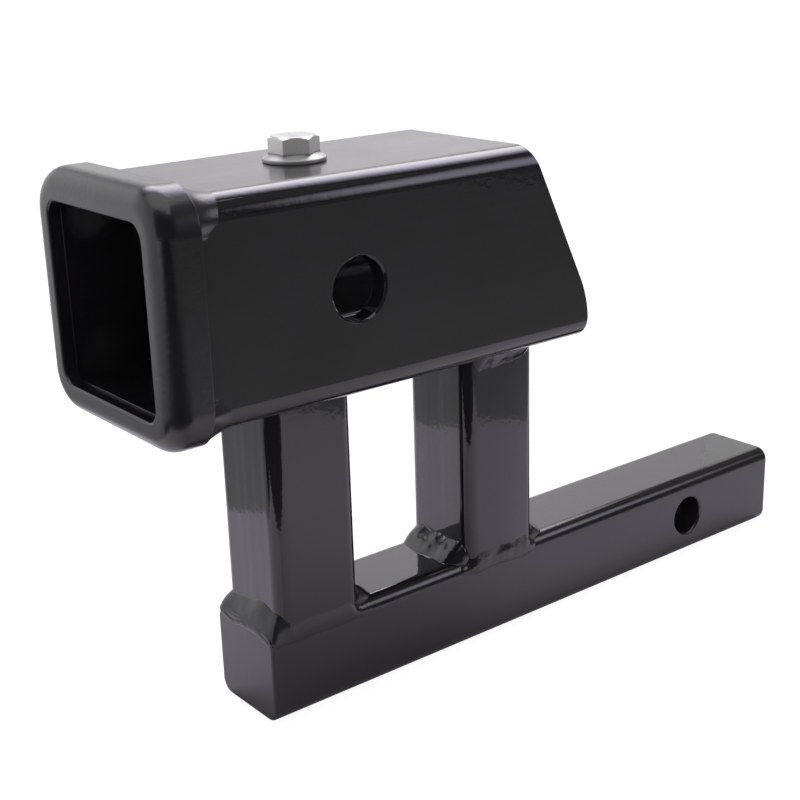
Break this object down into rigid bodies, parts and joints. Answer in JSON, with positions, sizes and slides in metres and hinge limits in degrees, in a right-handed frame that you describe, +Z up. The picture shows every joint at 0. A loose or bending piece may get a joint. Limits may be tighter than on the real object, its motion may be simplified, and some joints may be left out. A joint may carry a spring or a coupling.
{
  "type": "hitch receiver adapter",
  "caption": "Welded tow hitch adapter: a solid square shank carries a larger receiver tube, raised on posts, with a mouth collar, pin holes and a clamp bolt.",
  "frame": {"origin": "centre of the shank's pin hole, on the shank's axis", "axes": "+X along the shank out of its free end, towards the vehicle (the receiver's mouth faces -X); +Y across, along the hitch pin; +Z up, towards the raised receiver"},
  "size_m": [0.2715, 0.0706, 0.1735],
  "materials": {
    "black_coat": "gloss",
    "bright_steel": "bright"
  },
  "bodies": {
    "weldment": {"collar_bottom_weld": "black_coat", "collar_top_weld": "black_coat", "front_post": "black_coat", "front_post_foot_front_weld": "black_coat", "front_post_foot_left_weld": "black_coat", "front_post_foot_rear_weld": "black_coat", "front_post_foot_right_weld": "black_coat", "front_post_head_front_weld": "black_coat", "front_post_head_left_weld": "black_coat", "front_post_head_rear_weld": "black_coat", "front_post_head_right_weld": "black_coat", "mouth_collar": "black_coat", "rear_post": "black_coat", "rear_post_foot_front_weld": "black_coat", "rear_post_foot_left_weld": "black_coat", "rear_post_foot_rear_weld": "black_coat", "rear_post_foot_right_weld": "black_coat", "rear_post_head_front_weld": "black_coat", "rear_post_head_left_weld": "black_coat", "rear_post_head_rear_weld": "black_coat", "rear_post_head_right_weld": "black_coat", "receiver_tube": "black_coat", "shank_bar": "black_coat"},
    "bolt": {"anti_rattle_bolt": "bright_steel"}
  },
  "joints": [
    {"name": "bolt_travel", "type": "slide", "parent": "weldment", "child": "bolt", "axis": [0, 0, 1], "range_m": [0, 0.0135]}
  ]
}
